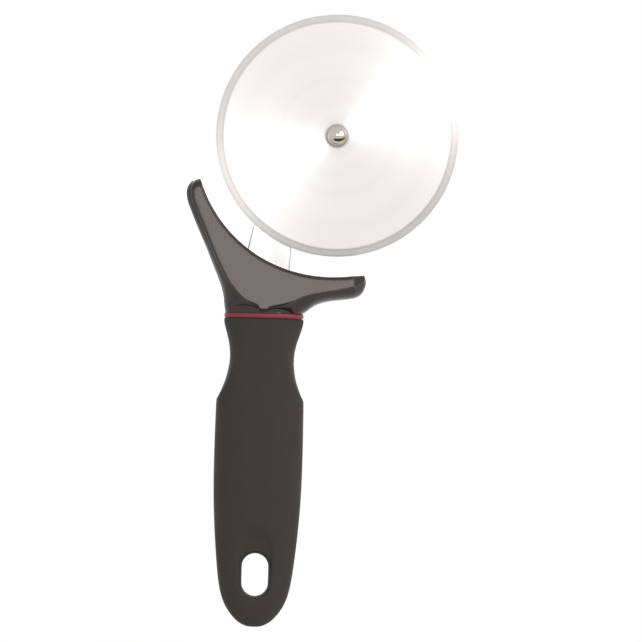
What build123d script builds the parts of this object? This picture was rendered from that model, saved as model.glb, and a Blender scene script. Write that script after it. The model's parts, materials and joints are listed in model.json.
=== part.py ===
from build123d import *
from math import atan2, cos, radians, sin, tan
import os

# Hand-held cutting wheel for pizza. The tool stands upright: +Z runs up the handle to the wheel,
# the wheel's axle lies along Y, and its polished front looks towards -Y.
# Heights are given from the butt end of the handle; the finished pieces are moved so that the
# origin lies on the handle's centre line in the middle of the palm.

# Wheel, a four inch stainless disc with its rim ground on both sides
wheel_diameter = 101.6
wheel_thickness = 1.2
grind_width = 3.4            # ground band beside the cutting edge
edge_thickness = 0.15        # what the grinding leaves of the rim
wheel_bore_gap = 0.05        # radial running fit on the axle
wheel_side_gap = 0.08        # between each face of the wheel and its washer

# Axle rivet and its washers
axle_diameter = 5.0
head_diameter = 8.4
head_rise = 2.3
tenon_diameter = 3.8         # the thinner end that goes through the arm and is clinched behind it
tenon_gap = 0.02
tail_diameter = 6.6
tail_rise = 1.1
washer_bore_gap = 0.04
front_washer_diameter = 9.8
front_washer_thickness = 0.6
spacer_diameter = 13.0
spacer_thickness = 1.2
rear_washer_diameter = 9.0
rear_washer_thickness = 0.8

# Handle, as wide and deep as the palm needs
handle_length = 129.6        # butt end to the underside of the red ring
handle_width = 37.1
handle_depth = 25.0
palm_height = 70.0           # where the hand closes round it, and where the origin lies
skin_thickness = 2.6         # soft rubber over the hard core
scoop_start = 94.0           # where the side scoops for thumb and finger begin
scoop_lead = 0.1             # the scoops start this far outside the handle's side

# Hanging slot near the butt end
slot_width = 11.2
slot_height = 17.8
slot_centre_height = 22.0
slot_lining = 1.6            # rubber between the slot and the core
dish_width = 1.6             # the soft hollow round the slot's mouth
dish_depth = 1.4

# Red ring between handle and guard
collar_width = 32.9
collar_depth = 21.0
collar_squareness = 2.4
collar_shift = 0.7           # the ring and guard stand this far to the right of the handle's axis
ring_height = 2.2
ring_edge_radius = 0.7

# Spigot of the core, which carries the ring and the guard
spigot_width = 22.0
spigot_depth = 12.0
spigot_rise = 10.0           # above the ring
spigot_gap = 0.1
socket_end_gap = 0.4

# Guard, a crescent that keeps a steady gap to the wheel
guard_gap = 9.2
guard_throat = 20.5          # from the ring to the bottom of the crescent
guard_lean = 20.8            # degrees from the handle's axis to the wheel's centre
left_reach = 50.0            # degrees of crescent on each side of the leaning line
right_reach = 33.7
horn_thickness = 13.0        # front to back at the tip of the long horn
guard_edge_thickness = 5.0   # the upright band round the guard's outline
guard_bead = 0.9             # how far the front face stays inside the crescent
boss_rise = 9.0              # the oval root that the ring meets tapers away over this height
boss_top_width = 30.0
boss_top_depth = 9.0
tongue_width = 4.0           # end of the front face above the ring
tongue_rise = 1.8

# Arm, a flat plate of stainless steel with a tang that runs down into the core
arm_thickness = 2.0
arm_edge_radius = 0.6
arm_shoulder_width = 21.2
arm_left_lean = 12.5         # degrees that the left edge leaves the handle's axis by
arm_right_lean = 2.3
arm_left_clear = 16.5        # how far each edge runs straight past the guard's throat
arm_right_clear = 7.0
arm_heading = 46.0           # degrees from the handle's axis where the arm meets its eye
eye_diameter = 17.0
arm_slot_gap = 0.1
tang_width = 14.0
tang_length = 80.0           # below the arm's shoulders
tang_tip_width = 9.0
tang_tip_length = 6.0
tang_gap = 0.05
pocket_end_gap = 0.5

# Pins that lock the tang in the core
pin_diameter = 4.0
pin_length = 15.0
upper_pin_drop = 32.0        # below the arm's shoulders
lower_pin_rise = 18.0        # above the end of the tang
pin_gap = 0.02

overrun = 1.0                # how far cutters pass the face that they open

# Handle's sections: height, half width and half depth as shares of the sizes above, and squareness,
# which is 2 for an ellipse and grows as the sides go flat
body_shares = [
    (0.0, 0.105, 0.110, 2.2),
    (0.004, 0.200, 0.200, 2.2),
    (0.014, 0.335, 0.320, 2.25),
    (0.036, 0.508, 0.455, 2.3),
    (0.066, 0.655, 0.555, 2.35),
    (0.104, 0.765, 0.635, 2.4),
    (0.160, 0.840, 0.695, 2.5),
    (0.245, 0.895, 0.765, 2.6),
    (0.350, 0.962, 0.865, 2.7),
    (0.470, 0.999, 0.960, 2.7),
    (0.600, 1.000, 1.000, 2.7),
    (0.725, 0.985, 0.980, 2.8),
    (0.865, 0.965, 0.915, 2.9),
    (1.0, 0.950, 0.865, 2.9),
]
# Scooped part above it: height within the scoops, half width, half depth, squareness and sideways
# shift as a share of the ring's
scoop_shares = [
    (0.0, 0.985, 1.60, 3.2, 0.10),
    (0.055, 0.935, 1.50, 3.2, 0.15),
    (0.17, 0.852, 1.36, 3.1, 0.25),
    (0.31, 0.770, 1.22, 3.0, 0.40),
    (0.51, 0.724, 1.10, 2.9, 0.60),
    (0.69, 0.770, 1.00, 2.7, 0.80),
    (0.84, 0.850, 0.92, 2.55, 0.90),
    (0.94, 0.895, 0.865, 2.45, 1.0),
]
slot_depth_share = 0.695     # of the handle's depth, where the slot goes through it
section_points = 16

# Guard's outline on each side, from the horn's tip down: share of that horn's reach, and depth
# below the crescent as a share of the throat
left_tip_shares = [(1.0, 0.0), (0.978, 0.30), (0.895, 0.420)]
left_edge_shares = [(0.68, 0.495), (0.42, 0.750)]
right_tip_shares = [(1.0, 0.0), (0.960, 0.270), (0.830, 0.400)]
right_edge_shares = [(0.56, 0.463), (0.43, 0.580)]
# Its front face in the same way, measured below the bead, down to the tongue
left_face_tip_shares = [(0.970, 0.0), (0.966, 0.14), (0.930, 0.215)]
left_face_edge_shares = [(0.615, 0.390), (0.33, 0.720), (0.13, 0.920)]
right_face_tip_shares = [(0.905, 0.0), (0.865, 0.125), (0.790, 0.185)]
right_face_edge_shares = [(0.38, 0.355), (0.17, 0.675)]

# Sizes that follow
wheel_radius = wheel_diameter / 2
ring_top = handle_length + ring_height
shoulder_height = ring_top + spigot_rise
lower_pin_drop = tang_length - lower_pin_rise
throat_run = guard_throat - spigot_rise
crescent_radius = wheel_radius + guard_gap
wheel_reach = guard_throat + crescent_radius
wheel_x = collar_shift + wheel_reach * sin(radians(guard_lean))
wheel_z = ring_top + wheel_reach * cos(radians(guard_lean))
arm_front = -arm_thickness / 2
arm_back = arm_thickness / 2
spacer_front = arm_front - spacer_thickness
wheel_back = spacer_front - wheel_side_gap
wheel_front = wheel_back - wheel_thickness
front_washer_back = wheel_front - wheel_side_gap
head_back = front_washer_back - front_washer_thickness
rear_washer_back = arm_back + rear_washer_thickness


def oval(height, half_width, half_depth, squareness, shift=0):
    # Closed section across the handle, with sides that flatten as squareness grows
    points = []
    for step in range(section_points):
        turn = radians(360 * step / section_points)
        across = abs(cos(turn)) ** (2 / squareness) * (1 if cos(turn) >= 0 else -1)
        along = abs(sin(turn)) ** (2 / squareness) * (1 if sin(turn) >= 0 else -1)
        points.append(Vector(shift + half_width * across, half_depth * along, height))
    return Face(Wire([Edge.make_spline(points, periodic=True)]))


def collar_oval(height, width, depth, gap=0):
    return oval(height, width / 2 + gap, depth / 2 + gap, collar_squareness, collar_shift)


def collar_column(low, high, width, depth, gap=0):
    # Straight column of the ring's section, between two heights
    return extrude(collar_oval(low, width, depth, gap), amount=high - low, dir=(0, 0, 1))


def grip_form(inset):
    # Outside of the handle, or of the core inside it where inset is the skin's thickness
    half_width = handle_width / 2 - inset
    half_depth = handle_depth / 2 - inset
    body = loft([
        oval(inset + (handle_length - inset) * up, half_width * wide, half_depth * deep, square)
        for up, wide, deep, square in body_shares
    ])
    sections = [
        oval(scoop_start + (handle_length - scoop_start) * up, half_width * wide + scoop_lead,
             half_depth * deep, square, collar_shift * aside)
        for up, wide, deep, square, aside in scoop_shares
    ]
    sections.append(collar_oval(handle_length, collar_width, collar_depth, -inset))
    lower = body & Box(2 * handle_width, 2 * handle_depth, scoop_start,
                       align=(Align.CENTER, Align.CENTER, Align.MIN))
    return lower + (body & loft(sections))


def obround(grow):
    # Upright outline of the slot on the handle's mid-plane
    outline = SlotOverall(slot_height + 2 * grow, slot_width + 2 * grow, rotation=90)
    return Plane.XZ * Pos(0, slot_centre_height) * outline


def slot_cutter(grow):
    return extrude(obround(grow), amount=handle_depth, both=True)


def slot_dish(side):
    # Flared mouth of the slot on one face, side being -1 for the front
    surface = handle_depth / 2 * slot_depth_share
    mouth = Pos(0, side * surface, 0) * obround(dish_width)
    bottom = Pos(0, side * (surface - dish_depth), 0) * obround(0)
    return loft([mouth, bottom], ruled=True)


def at_wheel(profile):
    # Turn a profile, drawn as (radius, y), round the wheel's axis
    outline = Plane(origin=(wheel_x, 0, wheel_z), x_dir=(1, 0, 0), z_dir=(0, 0, 1)) * profile
    return revolve(outline, Axis((wheel_x, 0, wheel_z), (0, 1, 0)))


def disc(radius, bore, front, back):
    outline = Polygon((bore, front), (radius, front), (radius, back), (bore, back), align=None)
    return at_wheel(outline)


def cutting_wheel():
    bore = axle_diameter / 2 + wheel_bore_gap
    middle = (wheel_front + wheel_back) / 2
    outline = Polygon(
        (bore, wheel_front),
        (wheel_radius - grind_width, wheel_front),
        (wheel_radius, middle - edge_thickness / 2),
        (wheel_radius, middle + edge_thickness / 2),
        (wheel_radius - grind_width, wheel_back),
        (bore, wheel_back),
        align=None,
    )
    return at_wheel(outline)


def dome_middle(radius, rise):
    # Point half way from the crown of a domed cap to its rim: out from the axis, up from the rim
    ball = (radius ** 2 + rise ** 2) / (2 * rise)
    turn = atan2(radius, ball - rise) / 2
    return ball * sin(turn), rise - ball * (1 - cos(turn))


def axle_rivet():
    # Domed head, shank through the wheel, thinner tenon through the arm and a clinched tail
    crown = head_back - head_rise
    tail = rear_washer_back + tail_rise
    head_out, head_up = dome_middle(head_diameter / 2, head_rise)
    tail_out, tail_up = dome_middle(tail_diameter / 2, tail_rise)
    head_rim = (head_diameter / 2, head_back)
    tail_rim = (tail_diameter / 2, rear_washer_back)
    outline = make_face([
        ThreePointArc((0, crown), (head_out, head_back - head_up), head_rim),
        Polyline(head_rim, (axle_diameter / 2, head_back), (axle_diameter / 2, arm_front),
                 (tenon_diameter / 2, arm_front), (tenon_diameter / 2, rear_washer_back), tail_rim),
        ThreePointArc(tail_rim, (tail_out, rear_washer_back + tail_up), (0, tail)),
        Line((0, tail), (0, crown)),
    ])
    return at_wheel(outline)


def front_washer():
    bore = axle_diameter / 2 + washer_bore_gap
    return disc(front_washer_diameter / 2, bore, head_back, front_washer_back)


def spacer_washer():
    bore = axle_diameter / 2 + washer_bore_gap
    return disc(spacer_diameter / 2, bore, spacer_front, arm_front)


def rear_washer():
    bore = tenon_diameter / 2 + washer_bore_gap
    return disc(rear_washer_diameter / 2, bore, arm_back, rear_washer_back)


def arm_edge(side, lean, run):
    # Foot of one edge of the arm on the shoulders, and the point that it reaches after a straight run
    foot = (side * arm_shoulder_width / 2, shoulder_height)
    return foot, (foot[0] + run * tan(radians(lean)), foot[1] + run)


def shank_arm():
    left_foot, left_bend = arm_edge(-1, arm_left_lean, throat_run + arm_left_clear)
    right_foot, right_bend = arm_edge(1, arm_right_lean, throat_run + arm_right_clear)
    left_slope = (sin(radians(arm_left_lean)), cos(radians(arm_left_lean)))
    right_slope = (-sin(radians(arm_right_lean)), -cos(radians(arm_right_lean)))
    heading = (sin(radians(arm_heading)), cos(radians(arm_heading)))
    eye = eye_diameter / 2
    left_eye = (wheel_x - eye * heading[1], wheel_z + eye * heading[0])
    right_eye = (wheel_x + eye * heading[1], wheel_z - eye * heading[0])
    crown = (wheel_x + eye * heading[0], wheel_z + eye * heading[1])
    tang_end = shoulder_height - tang_length
    outline = make_face([
        Polyline((-tang_width / 2, shoulder_height), left_foot, left_bend),
        Spline(left_bend, left_eye, tangents=(left_slope, heading)),
        ThreePointArc(left_eye, crown, right_eye),
        Spline(right_eye, right_bend, tangents=((-heading[0], -heading[1]), right_slope)),
        Polyline(right_bend, right_foot, (tang_width / 2, shoulder_height),
                 (tang_width / 2, tang_end + tang_tip_length), (tang_tip_width / 2, tang_end),
                 (-tang_tip_width / 2, tang_end), (-tang_width / 2, tang_end + tang_tip_length),
                 (-tang_width / 2, shoulder_height)),
    ])
    plate = extrude(Plane.XZ * outline, amount=arm_thickness / 2, both=True)
    rims = [edge for edge in plate.edges()
            if edge.center().Z > shoulder_height + overrun and abs(edge.center().Y) > arm_thickness / 4]
    plate = fillet(rims, min(arm_edge_radius, 0.45 * arm_thickness))
    tenon_hole = disc(tenon_diameter / 2 + tenon_gap, 0, arm_front - overrun, arm_back + overrun)
    return plate - tenon_hole - tang_pins(pin_length, pin_gap)


def pin_at(drop, length, gap):
    middle = Plane(origin=(0, 0, shoulder_height - drop), x_dir=(1, 0, 0), z_dir=(0, 1, 0))
    return middle * Cylinder(pin_diameter / 2 + gap, length)


def tang_pins(length, gap):
    return pin_at(upper_pin_drop, length, gap) + pin_at(lower_pin_drop, length, gap)


def upper_tang_pin():
    return pin_at(upper_pin_drop, pin_length, 0)


def lower_tang_pin():
    return pin_at(lower_pin_drop, pin_length, 0)


def crescent_point(reach, share, depth):
    # Point by its angle from the leaning line and its depth below the crescent
    turn = radians(guard_lean + reach * share)
    radius = crescent_radius + depth
    return (wheel_x - radius * sin(turn), wheel_z - radius * cos(turn))


def guard_outline(left_tip, left_edge, right_tip, right_edge, foot_width, foot_height, bead, front):
    # One closed outline of the guard; front gives a point's y from its height
    def lift(point):
        return Vector(point[0], front(point[1]), point[1])

    def side(reach, shares, start):
        return [lift(crescent_point(reach, along, start + guard_throat * deep)) for along, deep in shares]

    left_tip_points = side(left_reach, left_tip, bead)
    left_edge_points = side(left_reach, left_edge, 0)
    right_tip_points = side(-right_reach, right_tip, bead)
    right_edge_points = side(-right_reach, right_edge, 0)
    left_foot = lift((collar_shift - foot_width / 2, foot_height))
    right_foot = lift((collar_shift + foot_width / 2, foot_height))
    bottom = lift(crescent_point(0, 0, bead))
    return Face(Wire([
        ThreePointArc(left_tip_points[0], bottom, right_tip_points[0]),
        ThreePointArc(*right_tip_points),
        Spline(right_tip_points[-1], *right_edge_points, right_foot),
        Line(right_foot, left_foot),
        Spline(left_foot, *reversed(left_edge_points), left_tip_points[-1]),
        ThreePointArc(*reversed(left_tip_points)),
    ]))


def guard_front(height):
    # The front face leans back from the tongue to the long horn's tip
    tip = crescent_point(left_reach, 1, 0)[1]
    foot = ring_top + tongue_rise
    share = (height - foot) / (tip - foot)
    return -(collar_depth + (horn_thickness - collar_depth) * share) / 2


def guard_blank():
    silhouette = guard_outline(left_tip_shares, left_edge_shares, right_tip_shares, right_edge_shares,
                               collar_width, ring_top, 0, lambda height: -guard_edge_thickness / 2)
    face = guard_outline(left_face_tip_shares, left_face_edge_shares, right_face_tip_shares,
                         right_face_edge_shares, tongue_width, ring_top + tongue_rise, guard_bead,
                         guard_front)
    front = loft([face, silhouette], ruled=True)
    slab = extrude(silhouette, amount=guard_edge_thickness, dir=(0, 1, 0))
    boss = loft([collar_oval(ring_top, collar_width, collar_depth),
                 collar_oval(ring_top + boss_rise, boss_top_width, boss_top_depth)], ruled=True)
    return front + slab + mirror(front, about=Plane.XZ) + boss


def arm_slot():
    # Way through the guard for the arm's root, open into the spigot's socket below
    left_foot, left_top = arm_edge(-1, arm_left_lean, throat_run + guard_throat)
    right_foot, right_top = arm_edge(1, arm_right_lean, throat_run + guard_throat)
    left = left_foot[0] - arm_slot_gap
    right = right_foot[0] + arm_slot_gap
    bottom = shoulder_height - spigot_rise / 2
    outline = Polygon((left, bottom), (right, bottom), (right, right_foot[1]),
                      (right_top[0] + arm_slot_gap, right_top[1]),
                      (left_top[0] - arm_slot_gap, left_top[1]), (left, left_foot[1]), align=None)
    return extrude(Plane.XZ * outline, amount=arm_back + arm_slot_gap, both=True)


def finger_guard():
    socket = collar_column(ring_top - overrun, shoulder_height + socket_end_gap, spigot_width,
                           spigot_depth, spigot_gap)
    return guard_blank() - socket - arm_slot()


def collar_ring():
    ring = collar_column(handle_length, ring_top, collar_width, collar_depth)
    ring = fillet(ring.edges(), min(ring_edge_radius, 0.45 * ring_height))
    return ring - collar_column(handle_length - overrun, ring_top + overrun, spigot_width, spigot_depth,
                                spigot_gap)


def core_blank():
    # Hard core as the rubber sees it, with the bores for the pins open from side to side
    return grip_form(skin_thickness) - slot_cutter(slot_lining) - tang_pins(2 * handle_depth, 0)


def handle_core():
    spigot = collar_column(handle_length, shoulder_height, spigot_width, spigot_depth)
    pocket = Pos(0, 0, shoulder_height - tang_length - pocket_end_gap) * Box(
        tang_width + 2 * tang_gap, arm_thickness + 2 * tang_gap, tang_length + pocket_end_gap + overrun,
        align=(Align.CENTER, Align.CENTER, Align.MIN))
    return core_blank() + spigot - pocket


def soft_grip():
    skin = grip_form(0) - core_blank() - tang_pins(pin_length, 0)
    return skin - slot_cutter(0) - slot_dish(-1) - slot_dish(1)


pieces = [cutting_wheel, axle_rivet, front_washer, spacer_washer, rear_washer, shank_arm, finger_guard,
          collar_ring, handle_core, soft_grip, upper_tang_pin, lower_tang_pin]

os.makedirs("parts", exist_ok=True)
for piece in pieces:
    export_step(Pos(0, 0, -palm_height) * piece(), f"parts/{piece.__name__}.step")
    print(piece.__name__, "written")
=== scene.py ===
import json
from math import atan2, cos, pi, radians, sin

import bmesh
import bpy
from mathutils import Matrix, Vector


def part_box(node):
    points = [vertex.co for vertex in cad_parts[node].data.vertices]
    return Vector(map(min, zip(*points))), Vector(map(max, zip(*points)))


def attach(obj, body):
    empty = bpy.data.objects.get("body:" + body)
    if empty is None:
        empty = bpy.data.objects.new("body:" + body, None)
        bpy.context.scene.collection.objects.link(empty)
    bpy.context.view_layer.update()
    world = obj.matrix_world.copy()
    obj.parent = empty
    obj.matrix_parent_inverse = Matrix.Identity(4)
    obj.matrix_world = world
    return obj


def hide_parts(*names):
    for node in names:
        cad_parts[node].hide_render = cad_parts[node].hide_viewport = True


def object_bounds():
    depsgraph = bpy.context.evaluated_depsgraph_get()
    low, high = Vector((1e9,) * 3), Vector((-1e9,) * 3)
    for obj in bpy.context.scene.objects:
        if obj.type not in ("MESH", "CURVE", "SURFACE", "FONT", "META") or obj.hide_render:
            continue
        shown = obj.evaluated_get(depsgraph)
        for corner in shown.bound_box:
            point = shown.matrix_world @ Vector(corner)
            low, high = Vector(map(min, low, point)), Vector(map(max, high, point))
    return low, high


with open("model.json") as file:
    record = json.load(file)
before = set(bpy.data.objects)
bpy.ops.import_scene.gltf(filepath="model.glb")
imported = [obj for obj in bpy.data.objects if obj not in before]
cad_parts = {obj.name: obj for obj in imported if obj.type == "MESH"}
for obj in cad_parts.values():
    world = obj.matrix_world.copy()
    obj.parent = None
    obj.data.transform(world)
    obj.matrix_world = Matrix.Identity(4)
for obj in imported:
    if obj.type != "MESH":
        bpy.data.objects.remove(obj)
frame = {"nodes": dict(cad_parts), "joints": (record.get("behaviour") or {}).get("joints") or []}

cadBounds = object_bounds()
mm = 0.001

# The tool stands upright: Z runs up the handle, the wheel's axle lies along Y and the polished
# front looks towards -Y. Pieces are measured in millimetres and made in metres.

mergeReach = 0.004    # corners this close are merged into one
near = 0.01           # places this close count as the same


# Small helpers

def report(words):
    print("scene:", words)


def point(x, y, z):
    return Vector((x * mm, y * mm, z * mm))


def finishMesh(piece, name, angle=35):
    # Merge doubles, turn the faces outwards and shade by angle
    piece.name = name
    piece.data.name = name
    leaveEdit()
    editAll(piece)
    bpy.ops.mesh.remove_doubles(threshold=mergeReach * mm)
    bpy.ops.mesh.normals_make_consistent(inside=False)
    leaveEdit()
    bpy.ops.object.transform_apply(location=True, rotation=True, scale=True)
    bpy.ops.object.shade_smooth_by_angle(angle=radians(angle))
    return piece


def activate(piece):
    bpy.ops.object.select_all(action="DESELECT")
    bpy.context.view_layer.objects.active = piece
    piece.select_set(True)


def editAll(piece):
    # Go into edit mode with the whole piece selected
    activate(piece)
    bpy.ops.object.mode_set(mode="EDIT")
    bpy.ops.mesh.select_all(action="SELECT")


def leaveEdit():
    bpy.ops.object.mode_set(mode="OBJECT")


def applyModifier(piece, kind, **settings):
    activate(piece)
    modifier = piece.modifiers.new(kind.title(), kind)
    for key, value in settings.items():
        setattr(modifier, key, value)
    bpy.ops.object.modifier_apply(modifier=modifier.name)


def carve(piece, cutter, operation="DIFFERENCE"):
    applyModifier(piece, "BOOLEAN", object=cutter, operation=operation, solver="EXACT")
    bpy.data.objects.remove(cutter)


def openMesh():
    # The mesh that is being edited, ready to take corners by number
    mesh = bmesh.from_edit_mesh(bpy.context.active_object.data)
    mesh.verts.ensure_lookup_table()
    return mesh


def selectWhere(test, kind="VERT"):
    # In edit mode, select what passes the test and nothing else
    bpy.ops.mesh.select_mode(type=kind)
    bpy.ops.mesh.select_all(action="DESELECT")
    mesh = openMesh()
    for part in {"VERT": mesh.verts, "EDGE": mesh.edges, "FACE": mesh.faces}[kind]:
        part.select = bool(test(part))
    mesh.select_flush_mode()
    bmesh.update_edit_mesh(bpy.context.active_object.data)


def pickCorners(order):
    # Select the corners with these numbers too
    mesh = openMesh()
    for index in order:
        mesh.verts[index].select = True
    mesh.select_flush(True)
    bmesh.update_edit_mesh(bpy.context.active_object.data)


def grow(across, along, up, pivot):
    bpy.ops.transform.resize(value=(across, along, up), center_override=pivot)


def slide(x, y, z):
    bpy.ops.transform.translate(value=(x * mm, y * mm, z * mm))


def extrudeRing():
    bpy.ops.mesh.extrude_edges_move()


# Stage

cameraSettings = {
    "aim": (24.74, 0.0, 59.17),   # what the middle of the picture looks at
    "pictureWidth": 269.5,        # how wide the picture is at the tool
    "distance": 3000.0,
    "lean": 1.646,                # the handle leans to the right in the picture
    "sensorWidth": 36.0,
    "nearest": 50.0,              # what it sees lies between these two distances
    "farthest": 40000.0,
}


def makeCamera(s):
    lens = bpy.data.cameras.new("productCamera")
    lens.sensor_width = s["sensorWidth"]
    lens.lens = s["sensorWidth"] * s["distance"] / s["pictureWidth"]
    lens.clip_start = s["nearest"] * mm
    lens.clip_end = s["farthest"] * mm
    camera = bpy.data.objects.new("productCamera", lens)
    bpy.context.scene.collection.objects.link(camera)
    x, y, z = s["aim"]
    camera.location = point(x, y - s["distance"], z)
    camera.rotation_euler = (radians(90), radians(-s["lean"]), 0)
    bpy.context.scene.camera = camera


makeCamera(cameraSettings)


def hexColour(code):
    # sRGB hex to the linear values that the shaders use
    channels = [int(code[i:i + 2], 16) / 255 for i in (1, 3, 5)]
    linear = [c / 12.92 if c <= 0.04045 else ((c + 0.055) / 1.055) ** 2.4 for c in channels]
    return (*linear, 1.0)


def addNode(tree, kind, sockets=None, **settings):
    # Add one node: each socket gets a value, an output, or a node whose first output feeds it
    node = tree.nodes.new("ShaderNode" + kind)
    for key, value in settings.items():
        setattr(node, key, value)
    for socket, source in (sockets or {}).items():
        if isinstance(source, bpy.types.Node):
            source = source.outputs[0]
        if isinstance(source, bpy.types.NodeSocket):
            tree.links.new(source, node.inputs[socket])
        else:
            node.inputs[socket].default_value = source
    return node


def newMaterial(name):
    material = bpy.data.materials.new(name)
    material.use_nodes = True
    material.node_tree.nodes.clear()
    return material, material.node_tree


def closeMaterial(material, shader):
    addNode(material.node_tree, "OutputMaterial", {"Surface": shader})
    return material


def grainedSkin(tree, wear, relief, roughness, depth, spread=(0.3, 0.7)):
    # The wear makes a skin duller and shinier, and the relief is this many millimetres deep
    dulled = addNode(tree, "MapRange", {
        "Value": wear, "From Min": spread[0], "From Max": spread[1], "To Min": roughness[0],
        "To Max": roughness[1]})
    bump = addNode(tree, "Bump", {"Height": relief, "Distance": depth * mm})
    return {"Roughness": dulled, "Normal": bump}


def dress(piece, *finishes):
    # Give a piece these materials and no others
    piece.data.materials.clear()
    for finish in finishes:
        piece.data.materials.append(finish)


def rayIsSeen(tree):
    # 1 for rays from the camera, from gloss and through glass, 0 for soft light
    path = addNode(tree, "LightPath")
    gloss = addNode(tree, "Math", {
        0: path.outputs["Is Camera Ray"], 1: path.outputs["Is Glossy Ray"]}, operation="MAXIMUM")
    return addNode(tree, "Math", {
        0: gloss, 1: path.outputs["Is Transmission Ray"]}, operation="MAXIMUM")


stageSettings = {
    "seenWhite": 1.0,        # the background as the eye and the metal see it
    "softLight": 0.65,       # the soft light that it sheds on the tool
    "paperColour": "#f0f0f0",
    "floorDrop": 25.0,       # the floor lies this far below the butt end
    "floorSize": 14000.0,
    "floorGlow": 0.25,
    "poolStart": 240.0,      # the floor fades into the white background between these distances
    "poolEnd": 400.0,
}


def makeWorld(s):
    world = bpy.data.worlds.new("paleStudio")
    bpy.context.scene.world = world
    world.use_nodes = True
    tree = world.node_tree
    tree.nodes.clear()
    seen = rayIsSeen(tree)
    strength = addNode(tree, "MapRange", {
        "Value": seen, "To Min": s["softLight"], "To Max": s["seenWhite"]})
    background = addNode(tree, "Background", {"Color": (1, 1, 1, 1), "Strength": strength})
    addNode(tree, "OutputWorld", {"Surface": background})


makeWorld(stageSettings)


def floorMaterial(s):
    # White matt paper: it keeps the shadow near the tool and runs out into the white background
    material, tree = newMaterial("whiteMattPaper")
    seen = rayIsSeen(tree)
    glow = addNode(tree, "Math", {0: seen, 1: s["floorGlow"]}, operation="MULTIPLY")
    paper = addNode(tree, "BsdfPrincipled", {
        "Base Color": hexColour(s["paperColour"]), "Roughness": 0.9, "Specular IOR Level": 0.1,
        "Emission Color": (1, 1, 1, 1), "Emission Strength": glow})
    strength = addNode(tree, "MapRange", {
        "Value": seen, "To Min": s["softLight"], "To Max": s["seenWhite"]})
    background = addNode(tree, "Emission", {"Strength": strength})
    place = addNode(tree, "TexCoord").outputs["Object"]
    away = addNode(tree, "VectorMath", {0: place}, operation="LENGTH")
    far = addNode(tree, "MapRange", {
        "Value": away.outputs["Value"], "From Min": s["poolStart"] * mm,
        "From Max": s["poolEnd"] * mm}, interpolation_type="SMOOTHSTEP")
    shader = addNode(tree, "MixShader", {0: far, 1: paper, 2: background})
    return closeMaterial(material, shader)


def makeFloor(s):
    level = cadBounds[0][2] / mm - s["floorDrop"]
    bpy.ops.mesh.primitive_plane_add(size=s["floorSize"] * mm, location=point(0, 0, level))
    floor = bpy.context.active_object
    floor.name = "paleFloor"
    dress(floor, floorMaterial(s))


makeFloor(stageSettings)

shadeSettings = {
    "glow": 0.08,
    "length": 1700.0,
    "width": 300.0,
    "middle": (665.0, -192.0),    # where it lies in front of the tool
    "turn": 9.6,
    "aboveFloor": 1.0,
}


def makeShadeCard(s):
    # A dark strip on the table in front, as in a studio: only gloss shows it, and it draws the dark
    # line across the rivet's dome and under the guard's face
    level = cadBounds[0][2] / mm - stageSettings["floorDrop"] + s["aboveFloor"]
    bpy.ops.mesh.primitive_plane_add(size=1, location=point(*s["middle"], level))
    card = bpy.context.active_object
    card.name = "shadeCard"
    card.scale = (s["length"] * mm, s["width"] * mm, 1)
    card.rotation_euler = (0, 0, radians(s["turn"]))
    material, tree = newMaterial("darkShadeCard")
    dress(card, closeMaterial(material, addNode(tree, "Emission", {"Strength": s["glow"]})))
    card.visible_camera = False
    card.visible_diffuse = False
    card.visible_transmission = False
    card.visible_shadow = False


makeShadeCard(shadeSettings)


# Softboxes: place and size in metres
lampAim = (20, 0, 60)    # near the tool's middle
lampSettings = {
    "faceSoftbox": {"from": (0.36, -2.13, 0.50), "width": 1.5, "height": 0.5, "radiance": 3.5,
                    "colour": (1.0, 0.96, 0.945)},
    "sideSoftbox": {"from": (1.35, -1.25, 0.8), "width": 1.2, "height": 1.2, "radiance": 2.7},
    "backSoftbox": {"from": (-0.35, 2.4, 0.42), "width": 1.6, "height": 0.9, "radiance": 3.0},
}


def makeLamps(lamps):
    for name, lamp in lamps.items():
        light = bpy.data.lights.new(name, "AREA")
        light.shape = "RECTANGLE"
        light.size = lamp["width"]
        light.size_y = lamp["height"]
        light.energy = lamp["radiance"] * pi * lamp["width"] * lamp["height"]
        light.color = lamp.get("colour", (1, 1, 1))
        holder = bpy.data.objects.new(name, light)
        bpy.context.scene.collection.objects.link(holder)
        holder.location = lamp["from"]
        holder.rotation_euler = (point(*lampAim) - holder.location).to_track_quat("-Z", "Y").to_euler()
        holder.visible_camera = False


makeLamps(lampSettings)
bpy.context.scene.view_settings.view_transform = "Standard"
report("camera, floor and lamps are up")


# Where the wheel's axle is, read from the frame
axleX, axleY, axleZ = (v / mm for v in frame["joints"][0]["pos_m"])


def span(node, axis):
    # Lowest and highest place of a node along one axis, in millimetres
    low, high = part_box(node)
    return low[axis] / mm, high[axis] / mm


def startCircle(sides, radius, place, turned, filled):
    bpy.ops.object.select_all(action="DESELECT")
    bpy.ops.mesh.primitive_circle_add(vertices=sides, radius=radius * mm, location=place,
                                      rotation=(radians(90) if turned else 0, 0, 0),
                                      fill_type="NGON" if filled else "NOTHING")
    bpy.ops.object.transform_apply(location=True, rotation=True, scale=True)
    editAll(bpy.context.active_object)
    return bpy.context.active_object


def turnOnLathe(name, profile, sides, capped=False, angle=35):
    # Pull ring after ring out of one circle round the axle; the profile is (radius, y)
    radius, depth = profile[0]
    piece = startCircle(sides, radius, point(axleX, depth, axleZ), True, capped)
    for nextRadius, nextDepth in profile[1:]:
        extrudeRing()
        grow(nextRadius / radius, 1, nextRadius / radius, point(axleX, nextDepth, axleZ))
        slide(0, nextDepth - depth, 0)
        radius, depth = nextRadius, nextDepth
    if capped:
        bpy.ops.mesh.edge_face_add()
    return finishMesh(piece, name, angle)


# Cutting wheel

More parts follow.
